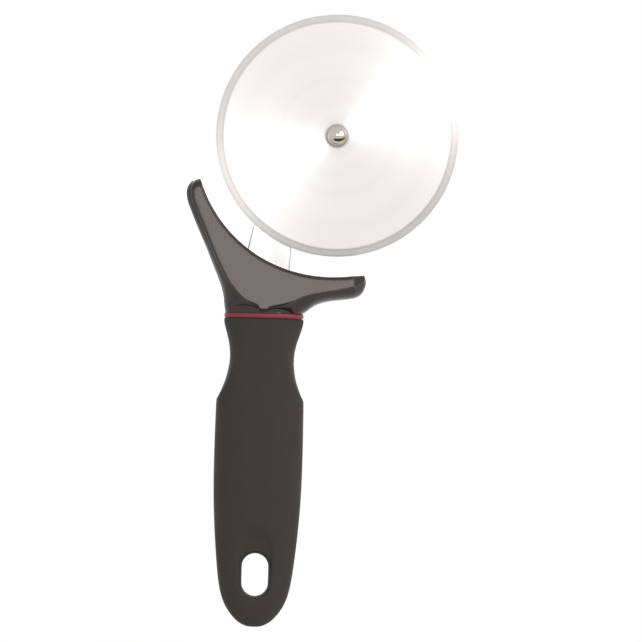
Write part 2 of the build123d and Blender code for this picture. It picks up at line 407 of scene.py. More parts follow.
wheelSettings = {
    "rimDiameter": 101.6,
    "boreDiameter": 5.1,
    "grindWidth": 2.9,        # ground band beside the edge
    "grindStep": 0.09,        # the small step where the grinding starts
    "stepWidth": 0.3,
    "honeWidth": 0.55,        # the steeper edge that does the cutting
    "honeHalf": 0.16,
    "edgeHalf": 0.03,
    "chamfer": 0.12,
    "sides": 256,
    "sharpAngle": 4,          # sharper edges than this stay crisp, in degrees
}


def makeWheel(s):
    front, back = span("cutting_wheel", 1)
    middle = (front + back) / 2
    rim, bore = s["rimDiameter"] / 2, s["boreDiameter"] / 2
    half = [
        (bore + s["chamfer"], front),
        (rim - s["grindWidth"] - s["stepWidth"], front),
        (rim - s["grindWidth"], front + s["grindStep"]),
        (rim - s["honeWidth"], middle - s["honeHalf"]),
        (rim - s["edgeHalf"], middle - s["edgeHalf"]),
    ]
    otherHalf = [(radius, 2 * middle - depth) for radius, depth in reversed(half)]
    profile = [(bore, front + s["chamfer"])] + half + otherHalf
    profile += [(bore, back - s["chamfer"]), (bore, front + s["chamfer"])]
    return turnOnLathe("rollingBlade", profile, s["sides"], angle=s["sharpAngle"])


turnedSteelSettings = {
    "colour": "#f2f0ee",
    "groundColour": "#d4d0cd",
    "grindFade": (0.9, 0.36),    # how far inwards and outwards the polish fades into the ground band
    "paintedSeamShade": 0.16,        # painted shade: a dark line drawn into the colour where the grinding starts
    "paintedHoneShade": 0.04,        # and a fainter painted one where the honed edge starts
    "seamWidth": 0.9,
    "ringSpacing": 0.8,       # the real rings are ten times finer, too fine to show
    "ringDepth": 0.0022,
    "bandSpacing": 7.0,       # slow change of the polish from the middle to the rim
    "bandShade": 0.965,
    "roughness": (0.46, 0.54),
    "groundRoughness": (0.42, 0.54),
    "markSpacing": 0.35,      # grinding marks across the edge band
    "markLength": 2.5,
    "rubbed": (4.9, 6.3),     # dull ring that the washer has rubbed
    "rubbedShade": 0.09,
}


def turnedSteel(s, wheel):
    # Stainless steel, polished on a lathe: fine rings round the axle throw a bright fan of light
    # across them, and the band ground along the edge is greyer and duller
    material, tree = newMaterial("latheTurnedStainless")
    place = addNode(tree, "TexCoord").outputs["Object"]
    fromAxle = addNode(tree, "VectorMath", {
        0: place, 1: point(axleX, axleY, axleZ)}, operation="SUBTRACT")
    flat = addNode(tree, "VectorMath", {0: fromAxle, 1: (1, 0, 1)}, operation="MULTIPLY")
    radius = addNode(tree, "VectorMath", {0: flat}, operation="LENGTH").outputs["Value"]
    outwards = addNode(tree, "VectorMath", {0: flat}, operation="NORMALIZE")
    acrossRings = addNode(tree, "VectorTransform", {
        0: outwards}, vector_type="VECTOR", convert_from="OBJECT", convert_to="WORLD")
    rings = addNode(tree, "TexNoise", {
        "W": radius, "Scale": 1 / (s["ringSpacing"] * mm), "Detail": 3.0,
        "Roughness": 0.6}, noise_dimensions="1D")
    bands = addNode(tree, "TexNoise", {
        "W": radius, "Scale": 1 / (s["bandSpacing"] * mm), "Detail": 1.0}, noise_dimensions="1D")
    split = addNode(tree, "SeparateXYZ", {0: flat})
    turn = addNode(tree, "Math", {0: split.outputs["X"], 1: split.outputs["Z"]}, operation="ARCTAN2")
    along = addNode(tree, "CombineXYZ", {"X": turn, "Y": radius})
    rim = wheel["rimDiameter"] / 2
    spread = addNode(tree, "VectorMath", {
        0: along, 1: (rim / s["markSpacing"], 1 / (s["markLength"] * mm), 0)}, operation="MULTIPLY")
    marks = addNode(tree, "TexNoise", {
        "Vector": spread, "Scale": 1.0, "Detail": 2.0}, noise_dimensions="2D")

    grindStart = rim - wheel["grindWidth"]
    honeStart = rim - wheel["honeWidth"]
    inwards, onwards = s["grindFade"]
    # Soft changes between two distances from the axle; the two seams are painted shade, dark lines in
    # the colour
    ground, rubbed, paintedInnerSeam, paintedOuterSeam = (
        addNode(tree, "MapRange", {
            "Value": radius, "From Min": start * mm, "From Max": end * mm, "To Min": first,
            "To Max": last}, interpolation_type="SMOOTHSTEP")
        for start, end, first, last in (
            (grindStart - inwards, grindStart + onwards, 0.0, 1.0),
            (*s["rubbed"], 1.0, 0.0),
            (grindStart, grindStart + s["seamWidth"], s["paintedSeamShade"], 0.0),
            (honeStart - s["seamWidth"], honeStart, 0.0, s["paintedHoneShade"]),
        ))
    polished, filed = (
        addNode(tree, "MapRange", {
            "Value": grain, "From Min": 0.25, "From Max": 0.75, "To Min": low, "To Max": high})
        for grain, (low, high) in ((rings, s["roughness"]), (marks, s["groundRoughness"])))
    roughness = addNode(tree, "Mix", {0: ground, 2: polished, 3: filed})
    height = addNode(tree, "Mix", {0: ground, 2: rings, 3: marks})
    bump = addNode(tree, "Bump", {"Height": height, "Distance": s["ringDepth"] * mm})
    colour = addNode(tree, "Mix", {
        0: ground, 6: hexColour(s["colour"]), 7: hexColour(s["groundColour"])}, data_type="RGBA")
    # Painted shade: dark lines drawn into the colour where the grinding and the honed edge start
    paintedSeams = addNode(tree, "Math", {0: paintedInnerSeam, 1: paintedOuterSeam}, operation="ADD")
    paintedSeamShade = addNode(tree, "Math", {0: paintedSeams, 1: ground}, operation="MULTIPLY")
    shade = addNode(tree, "MapRange", {
        "Value": bands, "From Min": 0.3, "From Max": 0.7, "To Min": s["bandShade"], "To Max": 1.0})
    dulled = addNode(tree, "Math", {
        0: rubbed, 1: -s["rubbedShade"], 2: shade}, operation="MULTIPLY_ADD")
    lined = addNode(tree, "Math", {0: dulled, 1: paintedSeamShade}, operation="SUBTRACT")
    finished = addNode(tree, "VectorMath", {0: colour.outputs[2], "Scale": lined}, operation="SCALE")
    shader = addNode(tree, "BsdfPrincipled", {
        "Base Color": finished, "Metallic": 1.0, "Roughness": roughness, "Anisotropic": 0.9,
        "Tangent": acrossRings, "Normal": bump})
    return closeMaterial(material, shader)


blade = makeWheel(wheelSettings)
dress(blade, turnedSteel(turnedSteelSettings, wheelSettings))
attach(blade, "wheel")
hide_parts("cutting_wheel")


# Rivet and washers

rivetSettings = {
    "shankDiameter": 5.0,
    "tenonDiameter": 3.8,
    "head": (8.4, 2.3, 12),    # diameter and rise of the dome, and its steps
    "tail": (6.6, 1.1, 6),
    "crownStep": 0.15,         # the smallest ring of a dome, as a share of its first step
    "sides": 96,
}


def domeProfile(form, crownStep, rimDepth, towards):
    # Rings of a round cap from near its crown down to its rim
    diameter, rise, steps = form
    ball = ((diameter / 2) ** 2 + rise ** 2) / (2 * rise)
    widest = atan2(diameter / 2, ball - rise)
    turns = [widest * max(step, crownStep) / steps for step in range(steps + 1)]
    return [(ball * sin(turn), rimDepth + towards * (rise - ball * (1 - cos(turn)))) for turn in turns]


def makeRivet(s):
    washerFront = span("front_washer", 1)[0]
    armFront = span("shank_arm", 1)[0]
    tailFoot = span("rear_washer", 1)[1]
    head = domeProfile(s["head"], s["crownStep"], washerFront, -1)
    tail = domeProfile(s["tail"], s["crownStep"], tailFoot, 1)
    shank, tenon = s["shankDiameter"] / 2, s["tenonDiameter"] / 2
    profile = head + [(shank, washerFront), (shank, armFront), (tenon, armFront), (tenon, tailFoot)]
    return turnOnLathe("domedRivet", profile + tail[::-1], s["sides"], capped=True)


def makeWasher(name, node, bore, edgeRound, sides=72):
    # Flat ring with its edges rolled
    front, back = span(node, 1)
    low, high = span(node, 0)
    rim = (high - low) / 2
    corner = 0.3 * edgeRound    # how far the middle of a rolled edge lies in from the corner
    half = [
        (bore, front + edgeRound), (bore + corner, front + corner), (bore + edgeRound, front),
        (rim - edgeRound, front), (rim - corner, front + corner), (rim, front + edgeRound),
    ]
    otherHalf = [(radius, front + back - depth) for radius, depth in reversed(half)]
    return turnOnLathe(name, half + otherHalf + half[:1], sides)


hardwareSettings = {
    "rivetColour": "#c3b9b0",
    "rivetRoughness": (0.10, 0.17),
    "rivetScuffs": 1.3,        # size of the soft scuffs on the polish
    "scuffDepth": 0.006,
    "washerColour": "#a39b94",
    "washerRoughness": (0.38, 0.52),
    "washerPits": 0.45,        # tumbling leaves small overlapping dents
    "pitDepth": 0.008,
    "nylonColour": "#e6e1d0",
    "nylonRoughness": (0.38, 0.55),
    "nylonGrain": 0.6,
    "nylonDepth": 0.01,
    "nylonScatter": 0.6,       # how far light wanders inside it
}


def polishedRivetSteel(s):
    # Stainless wire, cold headed and polished: a near mirror with soft scuffs
    material, tree = newMaterial("polishedRivetStainless")
    place = addNode(tree, "TexCoord").outputs["Object"]
    scuffs = addNode(tree, "TexNoise", {
        "Vector": place, "Detail": 3.0, "Scale": 1 / (s["rivetScuffs"] * mm)})
    shader = addNode(tree, "BsdfPrincipled", {
        "Base Color": hexColour(s["rivetColour"]), "Metallic": 1.0,
        **grainedSkin(tree, scuffs, scuffs, s["rivetRoughness"], s["scuffDepth"])})
    return closeMaterial(material, shader)


def tumbledWasherSteel(s):
    # Stainless sheet, punched and tumbled: an even satin grey with tiny dents
    material, tree = newMaterial("tumbledWasherStainless")
    place = addNode(tree, "TexCoord").outputs["Object"]
    pits = addNode(tree, "TexVoronoi", {
        "Vector": place, "Scale": 1 / (s["washerPits"] * mm), "Smoothness": 0.6}, feature="SMOOTH_F1")
    shader = addNode(tree, "BsdfPrincipled", {
        "Base Color": hexColour(s["washerColour"]), "Metallic": 1.0,
        **grainedSkin(tree, pits, pits, s["washerRoughness"], s["pitDepth"], (0, 0.8))})
    return closeMaterial(material, shader)


def naturalNylon(s):
    # Natural nylon, injection moulded: milky, slightly see-through at thin edges, waxy gloss
    material, tree = newMaterial("naturalMouldedNylon")
    place = addNode(tree, "TexCoord").outputs["Object"]
    grain = addNode(tree, "TexNoise", {
        "Vector": place, "Detail": 2.0, "Scale": 1 / (s["nylonGrain"] * mm)})
    shader = addNode(tree, "BsdfPrincipled", {
        "Base Color": hexColour(s["nylonColour"]), "IOR": 1.53, "Subsurface Weight": 0.25,
        "Subsurface Scale": s["nylonScatter"] * mm,
        **grainedSkin(tree, grain, grain, s["nylonRoughness"], s["nylonDepth"], (0, 1))})
    return closeMaterial(material, shader)


rivet = makeRivet(rivetSettings)
dress(rivet, polishedRivetSteel(hardwareSettings))
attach(rivet, "handle")
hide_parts("axle_rivet")

washerSteel = tumbledWasherSteel(hardwareSettings)
spacerNylon = naturalNylon(hardwareSettings)
# node, half bore, round of its edges, slot and finish
washerSettings = {
    "frontWasher": ("front_washer", 2.54, 0.15, "washer_steel", washerSteel),
    "nylonSpacer": ("spacer_washer", 2.54, 0.2, "spacer_nylon", spacerNylon),
    "rearWasher": ("rear_washer", 1.94, 0.2, "washer_steel", washerSteel),
}
for washerName, (node, bore, edgeRound, slot, finish) in washerSettings.items():
    washer = makeWasher(washerName, node, bore, edgeRound)
    dress(washer, finish)
    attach(washer, "handle")
    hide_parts(node)
report("wheel, rivet and washers are turned")


# Stacked rings, for the grip, the form that cuts its scoops and the red ring

ringCorners = 16
ringLevels = 3         # how often a stack of rings is smoothed
sameSwell = 0.0005     # a ratio this close to 1 changes nothing
cageGain = 3 / (2 + cos(2 * pi / ringCorners))    # a smoothed ring shrinks by this much


def swellCorners(ratio, centre, sizes):
    # Push the ring's four corners outwards, and their neighbours by half as much
    if abs(ratio - 1) < sameSwell:
        return
    mesh = openMesh()
    ring = [v.index for v in mesh.verts if v.select]
    wide, deep = sizes
    for rays, amount in (((2,), ratio), ((1, 3), 1 + (ratio - 1) / 2)):
        mesh = openMesh()
        for part in (*mesh.faces, *mesh.edges, *mesh.verts):
            part.select = False
        for index in ring:
            corner = mesh.verts[index]
            turn = atan2((corner.co.y - centre.y) / deep, (corner.co.x - centre.x) / wide)
            corner.select = round(turn / (2 * pi / ringCorners)) % 4 in rays
        bmesh.update_edit_mesh(bpy.context.active_object.data)
        grow(amount, amount, 1, centre)
    pickCorners(ring)


def stackRings(name, rows, closed=False):
    # Rows are (height, half width, half depth, swell, shift), from the first ring to the last
    height, wide, deep, swell, shift = rows[0]
    piece = startCircle(ringCorners, cageGain, point(shift, 0, height), False, not closed)
    bpy.ops.mesh.select_mode(type="VERT")
    centre = point(shift, 0, height)
    grow(wide, deep, 1, centre)
    swellCorners(swell, centre, (wide, deep))
    for nextHeight, nextWide, nextDeep, nextSwell, nextShift in rows[1:]:
        extrudeRing()
        slide(nextShift - shift, 0, nextHeight - height)
        centre = point(nextShift, 0, nextHeight)
        grow(nextWide / wide, nextDeep / deep, 1, centre)
        swellCorners(nextSwell / swell, centre, (nextWide, nextDeep))
        height, wide, deep, swell, shift = nextHeight, nextWide, nextDeep, nextSwell, nextShift
    if not closed:
        bpy.ops.mesh.edge_face_add()
    finishMesh(piece, name)
    applyModifier(piece, "SUBSURF", levels=ringLevels, render_levels=ringLevels)
    return piece


# Soft grip

gripSettings = {
    "butt": -70.0,
    # height above the butt, half width, half depth, swell of the corners, sideways shift
    "body": [
        (0.0, 2.2, 1.5, 1.03, 0), (0.6, 4.2, 2.8, 1.035, 0), (2.0, 6.8, 4.2, 1.04, 0),
        (4.6, 9.4, 5.7, 1.045, 0), (8.4, 12.1, 6.9, 1.055, 0), (13.5, 14.2, 7.9, 1.06, 0),
        (20.7, 15.5, 8.7, 1.07, 0), (31.8, 16.6, 9.6, 1.085, 0.05), (45.4, 17.75, 10.8, 1.094, 0.07),
        (60.9, 18.35, 12.0, 1.094, 0.07), (77.8, 18.34, 12.5, 1.094, 0.07),
        (94.0, 18.1, 12.25, 1.103, 0.07), (112.0, 17.65, 11.4, 1.11, 0.07),
        (129.6, 17.6, 10.8, 1.11, 0.07), (140.0, 17.4, 10.5, 1.11, 0.07),
    ],
    "scoops": [
        (-4.0, 30.0, 32.0, 1.13, 0), (80.0, 27.0, 28.0, 1.13, 0), (90.0, 21.1, 22.0, 1.13, 0),
        (94.0, 18.5, 20.0, 1.13, 0.05), (97.0, 17.0, 18.2, 1.13, 0.05), (100.5, 15.5, 16.8, 1.13, 0.08),
        (105.0, 14.0, 15.3, 1.12, 0.15), (112.0, 12.95, 13.75, 1.11, 0.38),
        (118.0, 13.6, 12.6, 1.094, 0.56), (123.5, 15.25, 11.6, 1.08, 0.8),
        (127.5, 16.65, 10.9, 1.065, 0.75), (131.0, 16.5, 10.4, 1.06, 0.7), (140.0, 15.0, 9.4, 1.06, 0.7),
    ],
    "top": 129.6,
    "slotCentre": 22.0,
    "slotWidth": 11.2,
    "slotHeight": 18.1,
    "slotSides": 48,
    # distance from the mid-plane, how far the mouth is wider there, and how far it is drawn up
    "slotMouth": [(15.0, 9.0, 16.0), (10.6, 4.0, 7.6), (9.5, 2.6, 6.3), (8.6, 1.7, 4.9),
                  (8.0, 1.2, 2.4), (7.5, 0.9, 0.6), (6.6, 0.55, 0.1), (5.2, 0.25, 0.0), (3.8, 0.0, 0.0)],
    "voxel": 0.6,
    "softening": (0.5, 5),    # strength and rounds
}


def makeGrip(s):
    grip, scoops = (stackRings(name, [(up + s["butt"], *rest) for up, *rest in s[form]])
                    for name, form in (("softGrip", "body"), ("scoopForm", "scoops")))
    carve(grip, scoops, "INTERSECT")
    editAll(grip)
    bpy.ops.mesh.bisect(plane_co=point(0, 0, s["top"] + s["butt"]), plane_no=(0, 0, 1),
                        use_fill=True, clear_outer=True)
    leaveEdit()
    carve(grip, slotCutter(s))
    applyModifier(grip, "REMESH", mode="VOXEL", voxel_size=s["voxel"] * mm)
    strength, rounds = s["softening"]
    applyModifier(grip, "SMOOTH", factor=strength, iterations=rounds)
    bpy.ops.object.shade_smooth()
    return grip


def slotCutter(s):
    # Upright rounded slot, flared towards both faces and drawn up above, like a thumb rest
    middle = s["slotCentre"] + s["butt"]
    rows = [(-side, *rest) for side, *rest in s["slotMouth"]]
    rows += [(side, *rest) for side, *rest in reversed(s["slotMouth"])]
    side, extra, lift = rows[0]
    halfWidth, halfHeight = s["slotWidth"] / 2, s["slotHeight"] / 2
    cutter = startCircle(s["slotSides"], halfWidth, point(0, side, middle), True, True)

    def selectRow(sign=0):
        # The newest row of corners, or only its upper (1) or lower (-1) half
        selectWhere(lambda c: abs(c.co.y - side * mm) < near * mm
                    and (not sign or sign * (c.co.z / mm - middle) > near))

    def raiseHalf(sign, amount):
        selectRow(sign)
        slide(0, 0, sign * amount)

    raiseHalf(1, halfHeight - halfWidth)
    raiseHalf(-1, halfHeight - halfWidth)
    selectRow()
    grow(1 + extra / halfWidth, 1, 1 + extra / halfHeight, point(0, 0, middle))
    raiseHalf(1, lift)
    for nextSide, nextExtra, nextLift in rows[1:]:
        selectRow()
        extrudeRing()
        slide(0, nextSide - side, 0)
        side = nextSide
        raiseHalf(1, -lift)
        selectRow()
        grow((halfWidth + nextExtra) / (halfWidth + extra), 1,
             (halfHeight + nextExtra) / (halfHeight + extra), point(0, 0, middle))
        raiseHalf(1, nextLift)
        extra, lift = nextExtra, nextLift
    selectRow()
    bpy.ops.mesh.edge_face_add()
    return finishMesh(cutter, "slotForm")


rubberSettings = {
    "colour": "#342f2a",
    "paleColour": "#3a352f",
    "grainSize": 0.45,       # the moulded grain
    "grainDepth": 0.02,
    "mottleSize": 11.0,      # handling leaves soft duller and shinier patches
    "roughness": (0.66, 0.82),
}


def mattRubber(s):
    # Soft thermoplastic rubber, moulded in a spark-eroded tool: warm near-black, fine matt grain,
    # a soft bloom where the surface turns away
    material, tree = newMaterial("mattMouldedRubber")
    place = addNode(tree, "TexCoord").outputs["Object"]
    grain = addNode(tree, "TexNoise", {
        "Vector": place, "Scale": 1 / (s["grainSize"] * mm), "Detail": 2.0})
    mottle = addNode(tree, "TexNoise", {
        "Vector": place, "Scale": 1 / (s["mottleSize"] * mm), "Detail": 4.0, "Roughness": 0.6})
    colour = addNode(tree, "Mix", {
        0: mottle, 6: hexColour(s["colour"]), 7: hexColour(s["paleColour"])}, data_type="RGBA")
    shader = addNode(tree, "BsdfPrincipled", {
        "Base Color": colour.outputs[2], "IOR": 1.5, "Specular IOR Level": 0.25, "Sheen Weight": 0.04,
        "Sheen Roughness": 0.5, **grainedSkin(tree, mottle, grain, s["roughness"], s["grainDepth"])})
    return closeMaterial(material, shader)


grip = makeGrip(gripSettings)
dress(grip, mattRubber(rubberSettings))
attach(grip, "handle")
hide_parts("soft_grip")
report("grip is shaped")


# Red ring

ringSettings = {
    "shift": 0.7,
    # half width, half depth and swell of the corners
    "outer": (16.45, 10.5, 1.06),
    "inner": (11.1, 6.1, 1.06),
    # how far a row stands back from that outline, and how high within the ring's height
    "outerRows": [(1.6, 0.0), (0.75, 0.0), (0.2, 0.03), (0.0, 0.16), (-0.12, 0.5), (0.0, 0.84),
                  (0.2, 0.97), (0.75, 1.0), (1.6, 1.0)],
    "innerRows": [(0.3, 1.0), (0.0, 0.85), (0.0, 0.15), (0.3, 0.0)],
}


def makeRing(s):
    low, high = span("collar_ring", 2)
    rows = []
    for side, sign in (("outer", -1), ("inner", 1)):
        wide, deep, swell = s[side]
        for back, up in s[side + "Rows"]:
            level = low + (high - low) * up
            rows.append((level, wide + sign * back, deep + sign * back, swell, s["shift"]))
    return stackRings("collarRing", rows + rows[:1], closed=True)


ringFinishSettings = {
    "colour": "#87303e",
    "deepColour": "#7b2a37",
    "grainSize": 0.5,
    "grainDepth": 0.006,
    "roughness": (0.32, 0.42),
}


def satinRedPlastic(s):
    # Coloured ABS, moulded with a satin skin: one soft line of light along its rounded edge
    material, tree = newMaterial("satinMouldedRedAbs")
    place = addNode(tree, "TexCoord").outputs["Object"]
    grain = addNode(tree, "TexNoise", {
        "Vector": place, "Scale": 1 / (s["grainSize"] * mm), "Detail": 2.0})
    colour = addNode(tree, "Mix", {
        0: grain, 6: hexColour(s["colour"]), 7: hexColour(s["deepColour"])}, data_type="RGBA")
    shader = addNode(tree, "BsdfPrincipled", {
        "Base Color": colour.outputs[2], "IOR": 1.54, "Specular IOR Level": 0.3,
        **grainedSkin(tree, grain, grain, s["roughness"], s["grainDepth"])})
    return closeMaterial(material, shader)


ring = makeRing(ringSettings)
dress(ring, satinRedPlastic(ringFinishSettings))
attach(ring, "handle")
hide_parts("collar_ring")


# Finger guard: half of it is pulled along the crescent, section after section, then mirrored

guardSettings = {
    "crescent": 59.75,         # radius of the hollow side about the wheel's axle
    "lean": 20.8,              # degrees from the handle's axis to the wheel's centre
    "tipHeight": 117.3,        # where the front face has leaned back to the long horn's depth
    "tipDepth": 6.5,
    "faceFoot": 63.6,
    "faceDepth": 11.8,         # the face stands proud of the ring and overhangs the flank
    "band": 2.5,               # half of the upright band round the outline
    "bead": 0.9,               # rolled edge along the hollow side
    "crown": 0.05,             # how far the front face swells
    "sway": (0.55, 3, 18),     # how far the hollow side runs off the circle, how often, from where
    "innerLean": 0.12,         # share of the front's draw-back that the hollow side follows
    "faceStart": 0.15,         # the face starts this far behind the bead
    "sinkShare": 0.08,         # how deep the roll-off sinks, as a share of its width
    "topShare": 0.3,           # how far the flank ends below the face's edge, as a share of the lip
    "endTuck": 0.45,           # how far a horn's end is drawn in, and how far it goes on
    "endStep": 0.15,
    "hornShares": ((0.12, 0.42), (0.5, 0.8)),    # how the flank rounds forward on its way up
    "rootShares": ((0.45, 0.0), (0.84, 0.2)),    # the same in the middle of the ring
    "shift": 0.7,
    "collar": (16.45, 10.5, 2.4),
    # degrees, how thick the face's edge is there, and how wide it rolls off
    "lips": [(60, 0.8, 1.9), (18.5, 0.8, 1.9), (7.6, 0.35, 0.4), (-11.4, 0.35, 0.4), (-40, 0.45, 0.4)],
    # degrees from the leaning line, depth of the face's edge and of the outline below the crescent,
    # and how far the front is drawn back towards the tip
    "leftHorn": [
        (50.3, 2.6, 4.1, 3.0), (49.9, 3.1, 5.0, 1.9), (49.4, 3.7, 5.95, 0.85), (48.7, 4.4, 6.85, 0.16),
        (47.5, 5.3, 7.8, 0), (45.6, 6.15, 8.6, 0), (43.5, 6.65, 8.95, 0), (41.0, 6.7, 9.2, 0),
        (37.0, 7.25, 9.85, 0), (33.0, 8.05, 10.7, 0), (29.0, 9.4, 11.85, 0), (25.0, 10.95, 13.55, 0),
        (21.5, 12.65, 15.55, 0), (18.5, 14.15, 17.45, 0), (15.8, 15.55, 19.5, 0),
        (13.3, 16.7, 22.3, 0), (11.4, 17.4, 25.8, 0),
    ],
    # degrees, depth of the face's edge, and where the flank meets the ring across it
    "root": [
        (10.3, 17.8, -16.36), (9.2, 18.2, -15.6), (7.6, 18.75, -13.2), (5.6, 18.9, -9.6),
        (3.8, 18.6, -5.8), (2.7, 18.55, -3.5), (2.15, 18.8, -2.5), (1.8, 19.8, -1.8), (0.6, 19.4, 0.1),
        (-0.5, 18.75, 2.0), (-0.85, 17.65, 2.7), (-1.4, 16.95, 3.6), (-3.2, 15.55, 6.4),
        (-5.8, 13.65, 9.9), (-8.2, 11.5, 13.2), (-10.1, 9.8, 15.6), (-11.4, 8.9, 16.36),
    ],
    "rightHorn": [
        (-12.8, 8.1, 15.0, 0), (-14.4, 7.35, 12.75, 0), (-16.6, 6.55, 11.0, 0), (-19.5, 5.8, 9.95, 0),
        (-22.5, 5.25, 9.45, 0), (-25.5, 4.75, 9.2, 0), (-27.5, 4.4, 9.05, 0), (-28.7, 4.15, 8.85, 0),
        (-29.1, 4.05, 8.75, 0.2), (-29.6, 3.9, 8.6, 0.85), (-30.5, 3.6, 8.15, 1.7),
        (-31.7, 3.1, 7.2, 2.7), (-32.8, 2.6, 5.5, 3.7), (-33.6, 2.1, 3.6, 4.7),
    ],
    "fit": 0.15,               # clearance round the arm and the core
    "downwards": -0.9,         # a face that looks down more squarely than this lies on the ring
}


def guardPlace(s, turn, depth, y):
    # Point by its angle from the leaning line and its depth below the crescent
    angle = radians(s["lean"] + turn)
    radius = s["crescent"] + depth
    return point(axleX - radius * sin(angle), y, axleZ - radius * cos(angle))


def lipAt(rows, turn):
    # How thick the face's edge is at this angle, and how wide it rolls off
    for (above, *first), (below, *second) in zip(rows, rows[1:]):
        if turn >= below:
            share = (above - turn) / (above - below)
            return [a + (b - a) * share for a, b in zip(first, second)]


def guardSection(s, turn, crease, edge, back=None):
    # From the mid-plane at the outline, over the front, to the mid-plane on the hollow side.
    # A section with no draw-back stands on the ring.
    lip, roll = lipAt(s["lips"], turn)
    roll = min(roll, 0.5 * (crease - s["bead"]))
    sink = s["sinkShare"] * roll
    lean = (s["faceDepth"] - s["tipDepth"]) / (s["tipHeight"] - s["faceFoot"])

    def front(depth):
        z = guardPlace(s, turn, depth, 0).z / mm
        return -s["faceDepth"] + lean * (z - s["faceFoot"]) + (back or 0)

    def onFace(depth, out=0.0):
        return guardPlace(s, turn, depth, front(depth) + out)

    if back is None:
        wide, deep, square = s["collar"]
        low = span("collar_ring", 2)[1]
        rim = -deep * (1 - min(1, abs(edge) / wide) ** square) ** (1 / square)
        outline = [point(s["shift"] + edge, 0, low), point(s["shift"] + edge, rim, low)]
        corner = (abs(edge) / wide) ** 3
    else:
        outline = [guardPlace(s, turn, edge, 0), guardPlace(s, turn, edge, -s["band"])]
        corner = 1
    top = onFace(crease + s["topShare"] * lip, sink + lip)
    flank = []
    for rootShare, hornShare in zip(s["rootShares"], s["hornShares"]):
        along, out = (a + (b - a) * corner for a, b in zip(rootShare, hornShare))
        place = outline[1].lerp(top, along)
        place.y = outline[1].y + (top.y - outline[1].y) * out
        flank.append(place)
    bead = s["bead"]
    amount, often, start = s["sway"]
    inner = s["innerLean"] * (back or 0) + amount * sin(radians(often * turn + start))
    return outline + flank + [
        top,
        onFace(crease, sink),
        onFace(crease - 0.2 * roll, 0.8 * sink),
        onFace(crease - roll, -0.2 * s["crown"]),
        onFace((crease - roll + bead) / 2, -s["crown"]),
        onFace(inner + bead + s["faceStart"], -0.2 * s["crown"]),
        onFace(inner + 0.4 * bead, 0.15 * bead),
        onFace(inner, 0.75 * bead),
        guardPlace(s, turn, inner, 0.8 * front(inner)),
        guardPlace(s, turn, inner, 0.4 * front(inner)),
        guardPlace(s, turn, inner, 0.0),
    ]


def hornEnd(s, last, before):
    # The rounded end of a horn: its last section drawn towards its own middle and a little onwards
    middle = sum(last, Vector()) / len(last)
    middle.y = 0
    onwards = s["endStep"] * (last[-1] - before[-1])
    return [corner.lerp(middle, s["endTuck"]) + onwards for corner in last]


def dragCorners(order, places):
    # Move each corner, taken in this order, to its own place
    for index, place in zip(order, places):
        mesh = openMesh()
        for part in (*mesh.edges, *mesh.verts):
            part.select = False
        corner = mesh.verts[index]
        corner.select = True
        bpy.ops.transform.translate(value=place - corner.co)


def pullSections(sections):
    # Start with an open chain of corners and pull it from one section to the next
    count = len(sections[0])
    piece = startCircle(count, 1, point(0, 0, 0), False, False)
    ends = {0, count - 1}
    selectWhere(lambda edge: {v.index for v in edge.verts} == ends, "EDGE")
    bpy.ops.mesh.delete(type="EDGE")
    bpy.ops.mesh.select_mode(type="VERT")
    order = list(range(count))
    dragCorners(order, sections[0])
    for last, places in zip(sections, sections[1:]):
        bpy.ops.mesh.select_all(action="DESELECT")
        pickCorners(order)
        extrudeRing()
        mesh = openMesh()
        mesh.verts.index_update()
        fresh = [v for v in mesh.verts if v.select]
        order = [min(fresh, key=lambda v: (v.co - old).length).index for old in last]
        dragCorners(order, places)
    return piece


def makeGuard(s):
    left, root, right = ([guardSection(s, *row) for row in s[part]]
                         for part in ("leftHorn", "root", "rightHorn"))
    piece = pullSections([hornEnd(s, left[0], left[1]), *left, *root, *right,
                          hornEnd(s, right[-1], right[-2])])
    leaveEdit()
    applyModifier(piece, "MIRROR", use_axis=(False, True, False), use_mirror_merge=True,
                  merge_threshold=near * mm)
    editAll(piece)
    selectWhere(lambda edge: edge.is_boundary, "EDGE")
    bpy.ops.mesh.edge_face_add()
    foot = span("collar_ring", 2)[1]
    # The outline that stands on the ring stays sharp
    selectWhere(lambda edge: all(abs(v.co.z / mm - foot) < near for v in edge.verts)
                and not all(abs(v.co.y / mm) < near for v in edge.verts)
                and any(f.normal.z > s["downwards"] for f in edge.link_faces), "EDGE")
    bpy.ops.transform.edge_crease(value=1)
    finishMesh(piece, "fingerGuard", 60)
    applyModifier(piece, "SUBSURF", levels=2, render_levels=2)
    for node in ("shank_arm", "handle_core"):
        carve(piece, fittedCopy(node, s["fit"]))
    return piece


def fittedCopy(node, gap):
    # A merged copy of a CAD node, a little larger all round where it cuts a hole for it
    twin = frame["nodes"][node].copy()
    twin.data = twin.data.copy()
    bpy.context.scene.collection.objects.link(twin)
    editAll(twin)
    bpy.ops.mesh.remove_doubles(threshold=mergeReach / 2 * mm)
    leaveEdit()
    if gap:
        applyModifier(twin, "DISPLACE", strength=gap * mm, mid_level=0)
    return twin


guardFinishSettings = {
    "colour": "#221a16",
    "paleColour": "#271f1b",
    "waveSize": 3.0,          # faint waviness of a moulded skin
    "waveDepth": 0.006,
    "rubSize": 0.7,           # fine rubbing from drawers and washing up
    "roughness": (0.09, 0.16),
    "sheen": "#fff7f4",       # a warm cast in what its skin mirrors
}


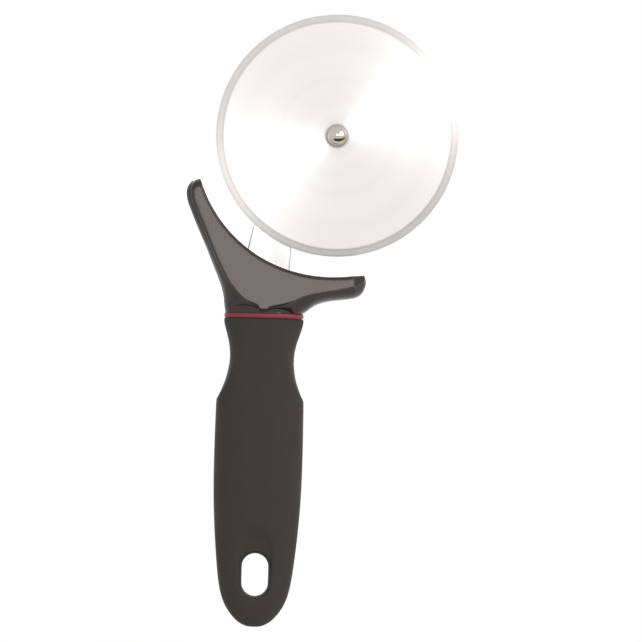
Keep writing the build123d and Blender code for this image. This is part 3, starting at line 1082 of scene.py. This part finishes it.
def glossyBlackPlastic(s):
    # Black ABS, moulded in a polished tool: deep and glossy, faintly wavy, lightly rubbed
    material, tree = newMaterial("glossyMouldedAbs")
    place = addNode(tree, "TexCoord").outputs["Object"]
    waves = addNode(tree, "TexNoise", {
        "Vector": place, "Scale": 1 / (s["waveSize"] * mm), "Detail": 1.0})
    rubs = addNode(tree, "TexNoise", {
        "Vector": place, "Scale": 1 / (s["rubSize"] * mm), "Detail": 4.0, "Roughness": 0.65})
    colour = addNode(tree, "Mix", {
        0: rubs, 6: hexColour(s["colour"]), 7: hexColour(s["paleColour"])}, data_type="RGBA")
    shader = addNode(tree, "BsdfPrincipled", {
        "Base Color": colour.outputs[2], "IOR": 1.54, "Specular IOR Level": 0.44,
        "Specular Tint": hexColour(s["sheen"]),
        **grainedSkin(tree, rubs, waves, s["roughness"], s["waveDepth"])})
    return closeMaterial(material, shader)


guard = makeGuard(guardSettings)
dress(guard, glossyBlackPlastic(guardFinishSettings))
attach(guard, "handle")
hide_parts("finger_guard")
report("ring and guard are shaped")


# Arm with dull edges. Core and pins keep their CAD shapes and get their finishes

insideSettings = {
    "armColour": "#f1efed",
    "armRoughness": (0.2, 0.3),
    "armLean": 8.0,            # the polishing runs along the arm
    "lineSpacing": 0.5,        # the real polishing lines are finer, drawn as coarse as they show
    "lineLength": 40.0,
    "lineDepth": 0.0015,
    "edgeColour": "#eef0f1",
    "shadedEdgeColour": "#b4b7b9",    # painted shade: the arm's right edge is coloured greyer, for the darker surroundings it mirrors
    "edgeRoughness": (0.4, 0.6),
    "across": (1, 0, -0.5),    # direction across the arm, and how far along it the painted edge shade changes
    "changeAt": -41.0,
    "changeHalf": 1.0,
    "edgeRound": 0.8,
    "edgeSteps": 3,
    "edgeTilt": 0.97,          # what faces front or back less squarely than this is an edge
    "flatAngle": 1,            # facets that turn less than this become one face, in degrees
    "roundedFrom": 50,         # edges sharper than this are rounded over
    "sharpAngle": 30,
    "nickSize": 0.4,
    "nickDepth": 0.02,
    "coreColour": "#201f1e",
    "corePalerColour": "#2a2927",
    "coreRoughness": (0.5, 0.7),
    "sparkSize": 0.35,         # grain of a spark-eroded mould
    "sparkDepth": 0.02,
    "pinColour": "#c9c6c2",
    "pinRoughness": (0.2, 0.38),
    "pinSpacing": 0.25,        # centreless grinding leaves rings along the pin
    "pinDepth": 0.002,
}


def polishedArmSteel(s):
    # Stainless sheet, belt polished lengthwise: bright, with fine lines along the arm
    material, tree = newMaterial("beltPolishedStainless")
    place = addNode(tree, "TexCoord").outputs["Object"]
    lean = radians(s["armLean"])
    turned = addNode(tree, "Mapping", {
        "Vector": place, "Rotation": (0, -lean, 0),
        "Scale": (1 / (s["lineSpacing"] * mm), 1 / mm, 1 / (s["lineLength"] * mm))})
    lines = addNode(tree, "TexNoise", {
        "Vector": turned, "Scale": 1.0, "Detail": 3.0, "Roughness": 0.6})
    across = addNode(tree, "VectorTransform", {
        0: (cos(lean), 0, -sin(lean))}, vector_type="VECTOR", convert_from="OBJECT", convert_to="WORLD")
    shader = addNode(tree, "BsdfPrincipled", {
        "Base Color": hexColour(s["armColour"]), "Metallic": 1.0, "Anisotropic": 0.5,
        "Tangent": across, **grainedSkin(tree, lines, lines, s["armRoughness"], s["lineDepth"])})
    return closeMaterial(material, shader)


def mouldedCorePlastic(s):
    # Glass-filled polypropylene, moulded in a spark-eroded tool: dull black with a fine grain
    material, tree = newMaterial("mouldedPolypropylene")
    place = addNode(tree, "TexCoord").outputs["Object"]
    grain = addNode(tree, "TexNoise", {
        "Vector": place, "Scale": 1 / (s["sparkSize"] * mm), "Detail": 3.0})
    colour = addNode(tree, "Mix", {
        0: grain, 6: hexColour(s["coreColour"]),
        7: hexColour(s["corePalerColour"])}, data_type="RGBA")
    shader = addNode(tree, "BsdfPrincipled", {
        "Base Color": colour.outputs[2], "IOR": 1.49,
        **grainedSkin(tree, grain, grain, s["coreRoughness"], s["sparkDepth"], (0, 1))})
    return closeMaterial(material, shader)


def groundPinSteel(s):
    # Steel rod, centreless ground: bright, with fine rings along its length
    material, tree = newMaterial("centrelessGroundSteel")
    place = addNode(tree, "TexCoord").outputs["Object"]
    split = addNode(tree, "SeparateXYZ", {0: place})
    rings = addNode(tree, "TexNoise", {
        "W": split.outputs["Y"], "Scale": 1 / (s["pinSpacing"] * mm),
        "Detail": 2.0}, noise_dimensions="1D")
    shader = addNode(tree, "BsdfPrincipled", {
        "Base Color": hexColour(s["pinColour"]), "Metallic": 1.0,
        **grainedSkin(tree, rings, rings, s["pinRoughness"], s["pinDepth"], (0, 1))})
    return closeMaterial(material, shader)


def dullEdgeSteel(s):
    # The same sheet where it was cut and deburred: duller than its faces, with small nicks, and painted
    # shade: its right edge is coloured greyer
    material, tree = newMaterial("deburredStainlessEdge")
    place = addNode(tree, "TexCoord").outputs["Object"]
    outwards = addNode(tree, "VectorMath", {0: place, 1: s["across"]}, operation="DOT_PRODUCT")
    side = addNode(tree, "MapRange", {
        "Value": outwards.outputs["Value"], "From Min": (s["changeAt"] - s["changeHalf"]) * mm,
        "From Max": (s["changeAt"] + s["changeHalf"]) * mm})
    # Painted shade: the right edge takes the greyer colour
    colour = addNode(tree, "Mix", {
        0: side, 6: hexColour(s["edgeColour"]), 7: hexColour(s["shadedEdgeColour"])}, data_type="RGBA")
    nicks = addNode(tree, "TexNoise", {
        "Vector": place, "Scale": 1 / (s["nickSize"] * mm), "Detail": 3.0})
    shader = addNode(tree, "BsdfPrincipled", {
        "Base Color": colour.outputs[2], "Metallic": 1.0,
        **grainedSkin(tree, nicks, nicks, s["edgeRoughness"], s["nickDepth"], (0, 1))})
    return closeMaterial(material, shader)


def makeArm(s):
    # The CAD arm, with its edges rounded over where they are still sharp and all dull
    arm = fittedCopy("shank_arm", 0)
    arm.name = "polishedArm"
    arm.data.name = "polishedArm"
    dress(arm, polishedArmSteel(s), dullEdgeSteel(s))
    editAll(arm)
    bpy.ops.mesh.dissolve_limited(angle_limit=radians(s["flatAngle"]))
    leaveEdit()
    applyModifier(arm, "BEVEL", width=s["edgeRound"] * mm, segments=s["edgeSteps"],
                  limit_method="ANGLE", angle_limit=radians(s["roundedFrom"]), material=1,
                  use_clamp_overlap=False)
    editAll(arm)
    selectWhere(lambda face: abs(face.normal.y) < s["edgeTilt"], "FACE")
    arm.active_material_index = 1
    bpy.ops.object.material_slot_assign()
    leaveEdit()
    bpy.ops.object.shade_smooth_by_angle(angle=radians(s["sharpAngle"]))
    return arm


arm = makeArm(insideSettings)
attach(arm, "handle")
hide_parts("shank_arm")

pinSteel = groundPinSteel(insideSettings)
keptNodes = {
    "handle_core": mouldedCorePlastic(insideSettings),
    "upper_tang_pin": pinSteel,
    "lower_tang_pin": pinSteel,
}
for node, finish in keptNodes.items():
    for materialSlot in frame["nodes"][node].material_slots:
        materialSlot.material = finish
report("all pieces have their finish")
